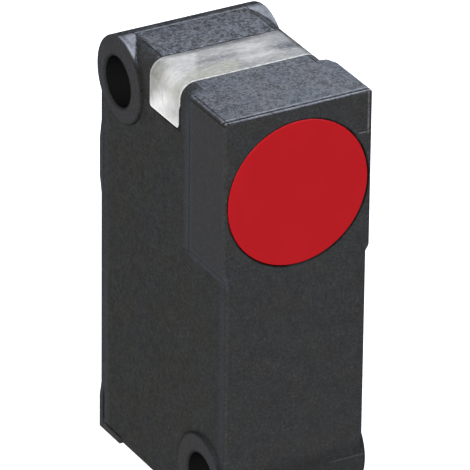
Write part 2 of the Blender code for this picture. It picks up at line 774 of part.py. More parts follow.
def make_coil_bobbin():
    inner, outer, front, back = bobbin_sizes()
    neck = inner + BOBBIN_WALL
    profile = [
        (inner, front),
        (outer, front),
        (outer, front + BOBBIN_WALL),
        (neck, front + BOBBIN_WALL),
        (neck, back - BOBBIN_WALL),
        (outer, back - BOBBIN_WALL),
        (outer, back),
        (inner, back),
    ]
    return coil_ring("coil_bobbin", profile)


def make_coil_winding():
    inner, outer, front, back = bobbin_sizes()
    low = inner + BOBBIN_WALL + FIT
    high = outer - LOOSE
    start = front + BOBBIN_WALL + FIT
    end = back - BOBBIN_WALL - FIT
    return coil_ring("coil_winding", [(low, start), (high, start), (high, end), (low, end)])


def make_coil_lead(name, side):
    """One end of the winding, through the core's rear and along the board, halfway to its light."""
    x, z = lead_place(side)
    start = GROOVE_BACK_Y - LOOSE + FIT
    led_front = GUIDE_Y - LED_LENGTH / 2
    end = (BOARD_NECK_Y + led_front) / 2
    profile = [(0.0, -start), (LEAD_RADIUS, -start), (LEAD_RADIUS, -end), (0.0, -end)]
    return turned(name, profile, "Y", (x, 0.0, z), LEAD_STEPS)


# Board and what is soldered to it


def make_circuit_board():
    outline = [
        (BOARD_FRONT_Y, BOARD_FOOT),
        (BOARD_BACK_Y, BOARD_FOOT),
        (BOARD_BACK_Y, BOARD_TOP),
        (BOARD_NECK_Y, BOARD_TOP),
        (BOARD_NECK_Y, BOARD_SHOULDER),
        (BOARD_FRONT_Y, BOARD_SHOULDER),
    ]
    return extruded("circuit_board", outline, "X", -BOARD_X, BOARD_X)


def board_place(across, up):
    """A point on the board, by its share of the board's depth and of the height below its shoulder."""
    y = BOARD_FRONT_Y + across * (BOARD_BACK_Y - BOARD_FRONT_Y)
    z = BOARD_FOOT + up * (BOARD_SHOULDER - BOARD_FOOT)
    return y, z


def on_board(name, side, place, size, edge):
    """A box on one side of the board; size is its height off the board, its depth and its rise."""
    y, z = place
    near = side * (BOARD_X + FIT)
    far = near + side * size[0]
    low = (min(near, far), y - size[1] / 2, z - size[2] / 2)
    high = (max(near, far), y + size[1] / 2, z + size[2] / 2)
    return box(name, low, high, edge, 1)


def shifted(obj, x, y):
    obj.data.transform(Matrix.Translation((x, y, 0.0)))
    return obj


def chip_part(name, side, place, size):
    """A two-ended chip part: a body between two slightly larger metal ends."""
    height, length, rise = size
    body = on_board(name, side, place, size, 0.0)
    for end in (-1, 1):
        middle = (place[0] + end * (length - CHIP_CAP) / 2, place[1])
        cap_size = (height + FIT, CHIP_CAP + FIT, rise + 2 * FIT)
        cap = on_board(name + ("_rear_end" if end > 0 else "_front_end"), side, middle, cap_size, 0.0)
        add(body, shifted(cap, -side * FIT / 2, end * FIT))
    return body


def leaded_part(name, side, place, size, legs):
    """A moulded body with legs above and below; legs are (share of its length, up or down) pairs."""
    length, rise = size[1:]
    body = on_board(name, side, place, size, MOULD_EDGE)
    leg_size = (LEG_HEIGHT, LEG_WIDTH, 2 * LEG_REACH)
    for i, (share, up) in enumerate(legs):
        root = (place[0] + share * length, place[1] + up * rise / 2)
        leg = on_board(f"{name}_leg_{i}", side, root, leg_size, 0.0)
        add(body, shifted(leg, -side * FIT / 2, 0.0))
    return body


# Each part on the board: its side, its place as shares of the board's depth and height, and its size
CAPACITOR = (CAPACITOR_HEIGHT, CHIP_LENGTH, CHIP_RISE)
RESISTOR = (RESISTOR_HEIGHT, CHIP_LENGTH, CHIP_RISE)
SUPPLY_CAPACITOR = (SUPPLY_CAPACITOR_HEIGHT, SUPPLY_CAPACITOR_LENGTH, SUPPLY_CAPACITOR_RISE)
CHIP_PARTS = {
    "tuning_capacitor": (1, (0.16, 0.80), CAPACITOR),
    "filter_capacitor": (1, (0.16, 0.45), CAPACITOR),
    "output_resistor": (1, (0.80, 0.80), RESISTOR),
    "supply_capacitor": (-1, (0.20, 0.80), SUPPLY_CAPACITOR),
    "trim_resistor": (-1, (0.50, 0.80), RESISTOR),
    "led_resistor": (-1, (0.80, 0.80), RESISTOR),
}
CIRCUIT = (CIRCUIT_HEIGHT, CIRCUIT_LENGTH, CIRCUIT_RISE)
TRANSISTOR = (TRANSISTOR_HEIGHT, TRANSISTOR_LENGTH, TRANSISTOR_RISE)
DIODE = (DIODE_HEIGHT, DIODE_LENGTH, DIODE_RISE)
CIRCUIT_LEGS = [(share, up) for share in (-0.36, -0.12, 0.12, 0.36) for up in (-1, 1)]
TRANSISTOR_LEGS = [(-0.33, -1), (0.33, -1), (0.0, 1)]
DIODE_LEGS = [(0.0, -1), (0.0, 1)]
LEADED_PARTS = {
    "sensor_ic": (1, (0.47, 0.64), CIRCUIT, CIRCUIT_LEGS),
    "output_transistor": (1, (0.80, 0.42), TRANSISTOR, TRANSISTOR_LEGS),
    "polarity_diode": (-1, (0.30, 0.42), DIODE, DIODE_LEGS),
    "surge_diode": (-1, (0.66, 0.42), DIODE, DIODE_LEGS),
}
TERMINAL = (TERMINAL_HEIGHT, TERMINAL_LENGTH, TERMINAL_RISE)
TERMINALS = {
    "terminal_plus": (0.42, 0.12),
    "terminal_minus": (0.58, 0.12),
    "terminal_output": (0.74, 0.12),
}
LED = (LED_HEIGHT, LED_LENGTH, LED_RISE)
LEDS = {"status_led": 1, "power_led": -1}


def main():
    root = bpy.data.objects.new("sensor_frame", None)
    PARTS.objects.link(root)

    black = material("black_plastic", (0.035, 0.036, 0.038), 0.55)
    red = material("red_plastic", (0.45, 0.013, 0.018), 0.45)
    clear = material("milky_clear_plastic", (0.75, 0.76, 0.75), 0.25)
    rubber = material("black_rubber", (0.02, 0.02, 0.02), 0.8)
    resin = material("cast_resin", (0.05, 0.045, 0.04), 0.35)
    ferrite = material("ferrite", (0.06, 0.06, 0.065), 0.7)
    former = material("former_plastic", (0.6, 0.58, 0.5), 0.5)
    copper = material("copper", (0.72, 0.35, 0.2), 0.35, 1.0)
    board = material("board_laminate", (0.03, 0.2, 0.09), 0.45)
    mould = material("component_mould", (0.02, 0.02, 0.022), 0.5)
    ceramic = material("component_ceramic", (0.45, 0.36, 0.25), 0.5)
    tin = material("tinned_metal", (0.75, 0.75, 0.73), 0.35, 1.0)

    finish(make_housing(), black, root)
    finish(make_rear_cover(), black, root)
    finish(make_sensing_face(), red, root)
    finish(make_light_guide(), clear, root)
    finish(make_cable_bush(), rubber, root)
    finish(make_resin_plug(), resin, root)
    finish(make_ferrite_core(), ferrite, root)
    finish(make_coil_bobbin(), former, root)
    finish(make_coil_winding(), copper, root)
    finish(make_coil_lead("coil_lead_start", -1), copper, root)
    finish(make_coil_lead("coil_lead_finish", 1), copper, root)
    finish(make_circuit_board(), board, root)
    for name, (side, place, size) in CHIP_PARTS.items():
        finish(chip_part(name, side, board_place(*place), size), ceramic, root)
    for name, (side, place, size, legs) in LEADED_PARTS.items():
        finish(leaded_part(name, side, board_place(*place), size, legs), mould, root)
    led_place = (GUIDE_Y, BOARD_TOP - LED_TOP_GAP - LED_RISE / 2)
    for name, side in LEDS.items():
        finish(chip_part(name, side, led_place, LED), clear, root)
    for name, place in TERMINALS.items():
        finish(on_board(name, 1, board_place(*place), TERMINAL, 0.0), tin, root)


clear_scene()
PARTS = new_collection(COLLECTION)
CUTTERS = new_collection("cutters")
main()
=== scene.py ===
"""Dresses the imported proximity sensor: materials, floor, light and the photograph's camera."""

import math

import bpy
from mathutils import Matrix, Vector


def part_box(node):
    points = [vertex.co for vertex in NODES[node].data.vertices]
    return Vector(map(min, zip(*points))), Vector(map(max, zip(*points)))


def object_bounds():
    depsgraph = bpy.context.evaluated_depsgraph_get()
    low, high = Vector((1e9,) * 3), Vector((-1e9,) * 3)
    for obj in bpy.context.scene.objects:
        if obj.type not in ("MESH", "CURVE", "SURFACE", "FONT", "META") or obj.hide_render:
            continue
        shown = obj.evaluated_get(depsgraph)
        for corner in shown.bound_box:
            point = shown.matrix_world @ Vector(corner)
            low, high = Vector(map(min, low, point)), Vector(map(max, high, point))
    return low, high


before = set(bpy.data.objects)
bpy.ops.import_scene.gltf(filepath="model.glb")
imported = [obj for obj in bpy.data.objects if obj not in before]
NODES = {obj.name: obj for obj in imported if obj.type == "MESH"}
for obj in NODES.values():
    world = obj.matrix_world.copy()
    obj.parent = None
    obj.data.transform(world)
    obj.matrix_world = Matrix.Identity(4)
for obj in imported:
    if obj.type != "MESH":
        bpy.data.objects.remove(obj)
cad_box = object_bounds()
MIDDLE = (cad_box[0] + cad_box[1]) / 2

MM = 0.001

# The photograph's camera: a long lens from above the front left corner, in degrees and metres
IMAGE_PIXELS = 470
SENSOR_WIDTH = 36.0
FOCAL_PIXELS = 6608.99
CAMERA_AZIMUTH = -29.3503
CAMERA_ELEVATION = 27.7289
CAMERA_ROLL = 0.652
CAMERA_DISTANCE = 0.4
CAMERA_RIGHTWARD = 0.2096 * MM
CAMERA_UPWARD = 1.6583 * MM

# Places on the housing, in millimetres
TOP_Z = 28.0
FRONT_Y = -7.95
SIDE_X = 5.0
PANEL_X = 4.75
SHOULDER_X = 3.86
HEAD_REAR_Y = -3.45
HEAD_FOOT_Z = 17.64
HEAD_EDGE = 0.16
UPPER_BOSS = (5.2, 25.2)
LOWER_BOSS = (-5.2, 3.0)
UPPER_BORE = (5.35, 25.0)
LOWER_BORE = (-5.35, 3.0)
BOSS_RADIUS = 2.8
BORE_RADIUS = 1.6
DISC_MIDDLE = (0.0, 22.39)
DISC_RADIUS = 4.73
GUIDE_FRONT_Y = -2.0
GUIDE_REAR_Y = 1.73
GUIDE_LEG_FOOT_Z = 24.99
REAR_LINE_Y = 5.4
RIM_LINE = 0.3
PAD_LINE_Y = 7.5
PAD_LINE_Z = 0.5
MARK_Z = 25.34
LOWER_MARK_Z = 3.4
FLANK_SLOPE = 0.58
FLANK_BORDER = 6.84


class Surface:
    """A material, with short ways to add and join its nodes. Lengths in its textures are millimetres."""

    def __init__(self, name):
        self.material = bpy.data.materials.new(name)
        self.material.use_nodes = True
        self.tree = self.material.node_tree
        self.shader = self.tree.nodes["Principled BSDF"]
        coordinates = self.add("TexCoord")
        scaled = self.add("VectorMath", operation="SCALE")
        scaled.inputs["Scale"].default_value = 1 / MM
        self.link(coordinates.outputs["Object"], scaled.inputs[0])
        self.place = scaled.outputs["Vector"]
        split = self.add("SeparateXYZ")
        self.link(self.place, split.inputs[0])
        self.x, self.y, self.z = split.outputs
        self.side = self.math("ABSOLUTE", self.x)
        facing = self.add("SeparateXYZ")
        self.link(self.add("NewGeometry").outputs["Normal"], facing.inputs[0])
        self.up = facing.outputs["Z"]

    def add(self, kind, **settings):
        node = self.tree.nodes.new("ShaderNode" + kind)
        for name, value in settings.items():
            setattr(node, name, value)
        return node

    def link(self, output, socket):
        self.tree.links.new(output, socket)

    def feed(self, value, socket):
        """Sets a socket to a plain value, or joins it to another node's output."""
        if isinstance(value, bpy.types.NodeSocket):
            self.link(value, socket)
        else:
            socket.default_value = value

    def set(self, **inputs):
        for name, value in inputs.items():
            self.feed(value, self.shader.inputs[name.replace("_", " ")])

    def math(self, operation, *values, clamp=False):
        node = self.add("Math", operation=operation, use_clamp=clamp)
        for value, socket in zip(values, node.inputs):
            self.feed(value, socket)
        return node.outputs[0]

    def noise(self, size, detail=2.0, roughness=0.5, stretch=(1.0, 1.0, 1.0)):
        """Cloudy noise with features about this many millimetres across."""
        node = self.add("TexNoise")
        mapping = self.add("Mapping")
        mapping.inputs["Scale"].default_value = stretch
        self.link(self.place, mapping.inputs["Vector"])
        self.link(mapping.outputs["Vector"], node.inputs["Vector"])
        node.inputs["Scale"].default_value = 1 / size
        node.inputs["Detail"].default_value = detail
        node.inputs["Roughness"].default_value = roughness
        return node.outputs["Fac"]

    def specks(self, size, share):
        """A mask of small separate dots; share is how much of each cell a dot fills."""
        node = self.add("TexVoronoi")
        self.link(self.place, node.inputs["Vector"])
        node.inputs["Scale"].default_value = 1 / size
        return self.span(node.outputs["Distance"], share, share * 0.5)

    def span(self, value, low, high, to_low=0.0, to_high=1.0):
        """Carries a value from one range to another and holds it at the ends."""
        node = self.add("MapRange", clamp=True)
        for setting, socket in zip((value, low, high, to_low, to_high), node.inputs):
            self.feed(setting, socket)
        return node.outputs[0]

    def line(self, value, at, width):
        """A mask that is 1 where a value is at a place, and 0 beyond half a width from it."""
        distance = self.math("ABSOLUTE", self.math("SUBTRACT", value, at))
        return self.span(distance, width / 2, width / 5)

    def within(self, value, low, high, soft):
        """A mask that is 1 between two places, with soft ends."""
        rise = self.span(value, low - soft, low + soft)
        fall = self.span(value, high - soft, high + soft, 1.0, 0.0)
        return self.math("MULTIPLY", rise, fall)

    def reach(self, first, second, centre):
        """The distance from a point, in the plane of two coordinates."""
        across = self.math("SUBTRACT", first, centre[0])
        up = self.math("SUBTRACT", second, centre[1])
        return self.math("SQRT", self.total(self.product(across, across), self.product(up, up)))

    def product(self, *values):
        result = values[0]
        for value in values[1:]:
            result = self.math("MULTIPLY", result, value)
        return result

    def total(self, *values):
        result = values[0]
        for value in values[1:]:
            result = self.math("ADD", result, value)
        return result

    def blend(self, share, first, second):
        """A colour between two, by a share."""
        node = self.add("Mix", data_type="RGBA")
        self.feed(share, node.inputs[0])
        for color, socket in ((first, node.inputs[6]), (second, node.inputs[7])):
            self.feed(color if isinstance(color, bpy.types.NodeSocket) else (*color, 1.0), socket)
        return node.outputs[2]

    def rounded_normal(self, radius):
        node = self.add("Bevel", samples=6)
        node.inputs["Radius"].default_value = radius * MM
        return node.outputs["Normal"]

    def relief(self, height, depth, normal=None, strength=1.0):
        """Bump of this many millimetres."""
        node = self.add("Bump")
        node.inputs["Strength"].default_value = strength
        node.inputs["Distance"].default_value = depth * MM
        self.link(height, node.inputs["Height"])
        if normal is not None:
            self.link(normal, node.inputs["Normal"])
        return node.outputs["Normal"]


def highest(s, *masks):
    """The strongest of several masks."""
    result = masks[0]
    for mask in masks[1:]:
        result = s.math("MAXIMUM", result, mask)
    return result


def bore_shade(s):
    """A mask of the walls of the two cross bores, where shade is painted dark."""
    upper = s.span(s.reach(s.y, s.z, UPPER_BORE), BORE_RADIUS + 0.04, BORE_RADIUS + 0.01)
    lower = s.span(s.reach(s.y, s.z, LOWER_BORE), BORE_RADIUS + 0.04, BORE_RADIUS + 0.01)
    return highest(s, upper, lower)


def rim_shade(s):
    """A mask of the chamfers of the bores and the rounded edges of the bosses, darkened with painted shade to
    hold back their highlights.
    """
    masks = []
    for place, radius in (
        (UPPER_BORE, BORE_RADIUS + 0.08),
        (LOWER_BORE, BORE_RADIUS + 0.08),
        (UPPER_BOSS, BOSS_RADIUS - 0.02),
        (LOWER_BOSS, BOSS_RADIUS - 0.02),
    ):
        masks.append(s.line(s.reach(s.y, s.z, place), radius, 0.3))
    low = s.span(s.z, UPPER_BOSS[1] + 2.0, UPPER_BOSS[1] + 1.5)
    return s.product(highest(s, *masks), s.span(s.side, SIDE_X - 0.14, SIDE_X - 0.1), low)


def raised_sides(s):
    """A mask of the flat ends of the bosses and the flat sides of the head."""
    head = s.span(s.y, HEAD_REAR_Y - 0.2, HEAD_REAR_Y - 0.4)
    upper = s.span(s.reach(s.y, s.z, UPPER_BOSS), BOSS_RADIUS, BOSS_RADIUS - 0.06)
    lower = s.span(s.reach(s.y, s.z, LOWER_BOSS), BOSS_RADIUS, BOSS_RADIUS - 0.06)
    return s.product(highest(s, head, upper, lower), s.span(s.side, SIDE_X - 0.04, SIDE_X - 0.01))


def boss_wall_shade(s):
    """A mask of painted shade on the low walls of the bosses, and of painted shadow on the panel close in
    front of them.
    """
    masks = []
    for boss in (UPPER_BOSS, LOWER_BOSS):
        reach = s.reach(s.y, s.z, boss)
        below_top = s.span(s.z, boss[1] + 2.3, boss[1] + 1.8)
        upward = s.span(s.z, boss[1] - 1.0, boss[1] + 0.5, 0.4, 1.0)
        wall = s.product(s.line(reach, BOSS_RADIUS, 0.4), s.span(s.side, PANEL_X + 0.02, PANEL_X + 0.1))
        masks.append(s.product(wall, upward, below_top))
        on_panel = s.span(s.side, PANEL_X + 0.06, PANEL_X + 0.02)
        ahead = s.product(s.span(s.z, boss[1] - 0.6, boss[1] + 0.5), on_panel)
        masks.append(s.product(s.span(reach, BOSS_RADIUS + 0.4, BOSS_RADIUS, 0.0, 0.5), ahead))
    return highest(s, *masks)


def boss_flank_highlight(s):
    """A mask of the painted highlight on the upper boss's round flanks where they stand out of the shoulders.
    """
    round_part = s.span(s.reach(s.y, s.z, UPPER_BOSS), BOSS_RADIUS + 0.06, BOSS_RADIUS + 0.02)
    ahead = s.span(s.y, UPPER_BOSS[0] + 0.3, UPPER_BOSS[0] - 0.1)
    across = s.math("ADD", s.side, s.product(s.y, FLANK_SLOPE))
    beyond = s.span(across, FLANK_BORDER - 0.05, FLANK_BORDER + 0.05)
    outer = s.product(s.span(s.side, SIDE_X - 0.02, SIDE_X - 0.1), beyond)
    dim = s.product(s.span(s.z, TOP_Z - 0.25, TOP_Z - 0.05), s.span(s.side, SIDE_X - 0.5, SIDE_X - 0.35))
    height = s.span(s.z, UPPER_BOSS[1] + 1.9, UPPER_BOSS[1] + 2.4)
    return s.product(round_part, ahead, outer, height, s.span(dim, 0.0, 1.0, 1.0, 0.5))


def slants(s):
    """A mask of the slanting edges just below the tops."""
    return s.product(s.within(s.up, 0.25, 0.9, 0.06), s.span(s.z, TOP_Z - 0.3, TOP_Z - 0.2))


def shoulders(s):
    """A mask of the rounded shoulders beside the flat top, and of the rounding behind it."""
    along = s.within(s.y, HEAD_REAR_Y, UPPER_BOSS[0] + 0.3, 0.2)
    outside_boss = s.span(s.reach(s.y, s.z, UPPER_BOSS), BOSS_RADIUS - 0.03, BOSS_RADIUS + 0.05)
    beyond = s.span(s.side, SHOULDER_X, SHOULDER_X + 0.05)
    left = s.span(s.x, 0.5, -0.5, 0.25, 1.0)
    sides = s.product(along, outside_boss, beyond, left, s.span(s.z, TOP_Z - 1.4, TOP_Z - 0.9))
    rear = s.span(s.y, REAR_LINE_Y, REAR_LINE_Y + 0.15)
    behind = s.product(rear, s.span(s.z, TOP_Z - 2.0, TOP_Z - 1.0), 0.7)
    return highest(s, sides, behind)


def shade_lines(s):
    """Thin lines of painted shade along the edges of the flat tops, round the foot pads and the red disc, and
    in the gaps beside the light guide and its legs.
    """
    top = s.span(s.z, TOP_Z - 0.1, TOP_Z - 0.03)
    on_head = s.span(s.y, HEAD_REAR_Y - 0.1, HEAD_REAR_Y - 0.3)
    shoulder = s.product(s.line(s.side, SHOULDER_X, 0.14), top, s.span(s.y, HEAD_REAR_Y, HEAD_REAR_Y + 0.3))
    left = s.span(s.x, 0.5, -0.5, 0.2, 1.0)
    side_edge_shade = s.product(s.line(s.side, SIDE_X - RIM_LINE + 0.02, 0.17), top, on_head, left)
    front_edge_shade = s.product(s.line(s.y, FRONT_Y + 0.3, 0.22), top)
    head_side = s.span(s.side, SIDE_X - 0.1, SIDE_X - 0.06)
    side_foot = s.product(s.line(s.z, TOP_Z - HEAD_EDGE, 0.16), on_head, head_side, 0.7)
    gap_ahead = s.line(s.y, GUIDE_FRONT_Y - 0.06, 0.13)
    gap_behind = s.line(s.y, GUIDE_REAR_Y + 0.06, 0.1)
    guide_gap = s.product(highest(s, gap_ahead, gap_behind), 0.5)
    above_foot = s.span(s.z, GUIDE_LEG_FOOT_Z - 0.1, GUIDE_LEG_FOOT_Z)
    along_leg = s.product(above_foot, s.span(s.side, SHOULDER_X, SHOULDER_X + 0.2))
    leg_side = s.product(s.line(s.y, GUIDE_FRONT_Y - 0.06, 0.16), along_leg, 0.9)
    leg_width = s.within(s.y, GUIDE_FRONT_Y, GUIDE_REAR_Y, 0.1)
    below_leg = s.product(s.line(s.z, GUIDE_LEG_FOOT_Z - 0.06, 0.14), leg_width)
    leg_foot = s.product(below_leg, s.span(s.side, PANEL_X - 0.1, PANEL_X - 0.05), 0.9)
    pad_post = s.product(s.line(s.y, PAD_LINE_Y, 0.3), s.within(s.z, PAD_LINE_Z, 2.7, 0.3))
    pad_strip = s.product(s.line(s.z, PAD_LINE_Z, 0.18), s.within(s.y, 5.2, PAD_LINE_Y, 0.2))
    pads = s.product(highest(s, pad_post, pad_strip), s.span(s.side, PANEL_X - 0.05, PANEL_X - 0.02), 0.7)
    disc_reach = s.reach(s.x, s.z, DISC_MIDDLE)
    uneven = s.span(s.noise(1.5, 2.0), 0.4, 0.6, 0.4, 0.95)
    on_front = s.span(s.y, FRONT_Y + 0.3, FRONT_Y + 0.2)
    disc_gap = s.product(s.line(disc_reach, DISC_RADIUS + 0.06, 0.16), on_front, uneven)
    on_tops = (shoulder, side_edge_shade, front_edge_shade, side_foot, s.product(guide_gap, top))
    return highest(s, *on_tops, leg_side, leg_foot, disc_gap, pads)


def painted_highlight_lines(s):
    """Thin broken lines of painted highlight along the edges, and faint light lines across the front near the
    heights of the bosses.
    """
    broken = s.span(s.noise(0.3, 3.0, 0.6), 0.38, 0.55, 0.3, 1.0)
    at_front = s.span(s.y, FRONT_Y + 0.06, FRONT_Y + 0.02)
    top = s.span(s.z, TOP_Z - 0.1, TOP_Z - 0.03)
    on_head = s.span(s.y, HEAD_REAR_Y - 0.1, HEAD_REAR_Y - 0.3)
    first = s.product(s.line(s.y, FRONT_Y + 0.5, 0.17), top, 0.6)
    second = s.product(s.line(s.y, FRONT_Y + 0.17, 0.14), top, 0.8)
    side = s.product(s.line(s.side, SIDE_X - 0.14, 0.16), top, on_head, 0.1)
    corner = s.product(s.line(s.x, SIDE_X - RIM_LINE, 0.15), at_front, s.span(s.z, MARK_Z - 0.2, MARK_Z), 0.5)
    inward = s.span(s.side, SHOULDER_X + 0.3, SHOULDER_X)
    rear = s.product(s.line(s.y, REAR_LINE_Y - 0.04, 0.16), top, inward, 0.9)
    guide = s.product(s.line(s.y, GUIDE_REAR_Y + 0.2, 0.2), top, s.span(s.noise(0.4, 2.0), 0.58, 0.66))
    upper_mark = s.product(s.line(s.z, MARK_Z, 0.09), at_front, s.span(s.x, 4.0, 4.1), 0.6)
    lower_mark = s.product(s.line(s.z, LOWER_MARK_Z, 0.09), at_front, s.span(s.x, 2.4, 2.5), 0.2)
    lines = highest(s, first, second, side, corner, rear, guide, upper_mark, lower_mark)
    return s.product(lines, broken)


def blue_sheen_bands(s):
    """Faint pale blue bands of painted sheen along the head's ramps and the front and rear edges."""
    panel = s.span(s.side, PANEL_X - 0.1, PANEL_X - 0.02)
    ramp = s.product(s.line(s.y, HEAD_REAR_Y + 0.15, 1.8), s.span(s.z, HEAD_FOOT_Z - 0.3, HEAD_FOOT_Z))
    foot = s.product(s.line(s.z, HEAD_FOOT_Z - 0.1, 1.0), s.span(s.y, HEAD_REAR_Y + 0.3, HEAD_REAR_Y))
    front = s.product(s.line(s.y, FRONT_Y + 0.55, 0.9), s.span(s.z, HEAD_FOOT_Z, HEAD_FOOT_Z - 0.3), 0.5)
    rear = s.product(s.within(s.y, -FRONT_Y - 1.0, -FRONT_Y - 0.4, 0.2), s.span(s.z, 14.0, 10.0, 0.5, 1.0))
    return s.product(highest(s, ramp, foot, front, rear), panel)


def pale_strips(s):
    """A mask of the paler strips up the rear edges of the side panels and along the foot pads."""
    upright = s.product(s.within(s.y, PAD_LINE_Y + 0.12, -FRONT_Y - 0.02, 0.05), s.span(s.z, 22.0, 20.0))
    foot = s.product(s.span(s.z, PAD_LINE_Z - 0.08, PAD_LINE_Z - 0.14), s.span(s.y, 5.4, 5.8))
    return s.product(highest(s, upright, foot), s.span(s.side, PANEL_X - 0.1, PANEL_X - 0.02))


def black_plastic(name, marked):
    """Grained black moulded plastic; the grain shows most where it mirrors the light."""
    s = Surface(name)
    fine = s.noise(0.1, 3.0, 0.65, (1.0, 0.8, 1.0))
    grain = s.noise(0.23, 4.0, 0.7)
    mottle = s.noise(0.9, 4.0, 0.65)
    side_grain = s.noise(0.15, 3.0, 0.65, (1.0, 0.6, 1.0))
    tint = s.noise(2.0, 3.0)
    tone = s.total(s.product(side_grain, 0.85), s.product(mottle, 0.15))
    tone = s.math("POWER", s.span(tone, 0.31, 0.7), 1.6)
    dark = s.blend(s.span(tint, 0.42, 0.58), (0.0309, 0.0303, 0.0287), (0.0286, 0.0303, 0.0319))
    color = s.blend(tone, dark, (0.056, 0.056, 0.056))
    scatter = s.product(s.specks(0.3, 0.2), s.span(s.noise(0.9), 0.42, 0.55))
    color = s.blend(s.product(scatter, 0.5), color, (0.10, 0.10, 0.105))

    rear_top = s.span(s.y, GUIDE_FRONT_Y, GUIDE_REAR_Y)
    patches = s.product(s.math("SUBTRACT", s.noise(0.4, 3.0, 0.7), 0.5), rear_top, 9.0)
    speckle = s.total(s.product(fine, 0.4), s.product(grain, 0.45), s.product(mottle, 0.2), -0.525)
    contrast = s.span(rear_top, 0.0, 1.0, 21.5, 29.0)
    gloss = s.math("EXPONENT", s.math("ADD", s.product(speckle, contrast), patches))
    gloss = s.product(gloss, s.span(rear_top, 0.0, 1.0, 0.42, 0.36))
    scuffs = s.product(s.span(s.noise(1.3, 5.0, 0.65, (1.0, 0.7, 1.0)), 0.55, 0.63), rear_top)
    gloss = s.product(gloss, s.span(scuffs, 0.0, 1.0, 1.0, 0.55), s.span(s.x, -1.0, -3.6, 1.05, 0.8))
    gloss = s.product(gloss, s.span(s.product(rear_top, s.span(s.x, 1.2, 3.4)), 0.0, 1.0, 1.0, 0.82))
    gloss = s.math("ADD", gloss, s.product(scatter, 0.6), clamp=True)
    if marked:
        color = s.blend(s.product(raised_sides(s), 0.65), color, (0.055, 0.055, 0.060))
        # Painted bluish sheen along the head's ramps and the front and rear edges.
        color = s.blend(s.product(blue_sheen_bands(s), 0.6), color, (0.058, 0.066, 0.082))
        color = s.blend(s.product(pale_strips(s), 0.6), color, (0.068, 0.068, 0.070))
        # Painted highlight on the upper boss's flanks.
        color = s.blend(s.product(boss_flank_highlight(s), 0.85), color, (0.30, 0.31, 0.325))
        # Painted highlights along the edges.
        color = s.blend(painted_highlight_lines(s), color, (0.29, 0.295, 0.30))
        # Painted shade along edges and gaps, in the bores and at the boss walls.
        shade = highest(s, s.product(boss_wall_shade(s), 0.6), s.product(shade_lines(s), 0.85))
        shade = highest(s, shade, s.product(rim_shade(s), 0.4), s.product(bore_shade(s), 0.9))
        color = s.blend(shade, color, (0.005, 0.005, 0.005))
        shade = highest(s, shade, s.product(highest(s, shoulders(s), slants(s)), 0.85))
        gloss = s.product(gloss, s.span(shade, 0.0, 1.0, 1.0, 0.05))
    height = s.total(s.product(fine, 0.5), s.product(grain, 0.5))
    s.set(
        Base_Color=color,
        Specular_IOR_Level=gloss,
        Specular_Tint=s.blend(s.span(tint, 0.4, 0.6), (1.0, 0.965, 0.92), (0.93, 0.97, 1.0)),
        Roughness=s.span(mottle, 0.35, 0.65, 0.36, 0.46),
        Normal=s.relief(height, 0.02, None, 0.3),
    )
    return s.material


def red_plastic():
    """Smooth red plastic, a little brighter near its rim."""
    s = Surface("red_face")
    low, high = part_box("sensing_face")
    middle = (low + high) / 2 / MM
    radius = (high.z - low.z) / 2 / MM
    rim = s.span(s.reach(s.x, s.z, (middle.x, middle.z)), 0.86 * radius, 0.99 * radius)
    grain = s.noise(0.09, 3.0)
    cloud = s.noise(2.2, 2.0)
    color = s.blend(s.span(cloud, 0.3, 0.7), (0.462, 0.0074, 0.0116), (0.487, 0.0080, 0.0122))
    color = s.blend(s.product(rim, 0.5), color, (0.507, 0.0080, 0.0122))
    s.set(
        Base_Color=color,
        Roughness=s.span(grain, 0.3, 0.7, 0.42, 0.52),
        Normal=s.relief(grain, 0.004, s.rounded_normal(0.05), 0.35),
    )
    return s.material


def guide_flank(s, back, top, wander):
    """The guide's sides and bends, with painted light and shade: a bright core of painted light that leans
    back towards the foot, and painted shade on the bends.
    """
    core = s.math("ADD", s.product(s.span(s.z, top - 1.1, top - 3.0), 1.6), -0.55)
    behind = s.math("SUBTRACT", s.math("ADD", s.y, wander), core)
    color = s.blend(s.span(behind, -0.2, -1.5), (0.868, 0.873, 0.873), (0.53, 0.534, 0.53))
    color = s.blend(s.span(behind, 0.1, 1.3), color, (0.353, 0.359, 0.355))
    color = s.blend(s.product(s.span(s.z, top - 2.2, top - 2.8), 0.6), color, (0.813, 0.818, 0.816))
    bend = s.span(s.z, top - 1.9, top - 0.9)
    color = s.blend(s.product(bend, 0.65), color, (0.345, 0.338, 0.316))
    rear_bend_shade = s.product(s.span(s.z, top - 1.2, top - 0.75), s.span(s.y, back - 1.4, back - 0.5))
    color = s.blend(s.product(rear_bend_shade, 0.6), color, (0.15, 0.146, 0.13))
    front_bend_shade = s.product(s.span(s.z, top - 0.9, top - 0.5), s.span(s.y, -1.0, -1.5))
    color = s.blend(s.product(front_bend_shade, 0.4), color, (0.30, 0.29, 0.25))
    return s.blend(s.product(s.span(s.y, back - 0.2, back - 0.1), 0.3), color, (0.55, 0.55, 0.54))


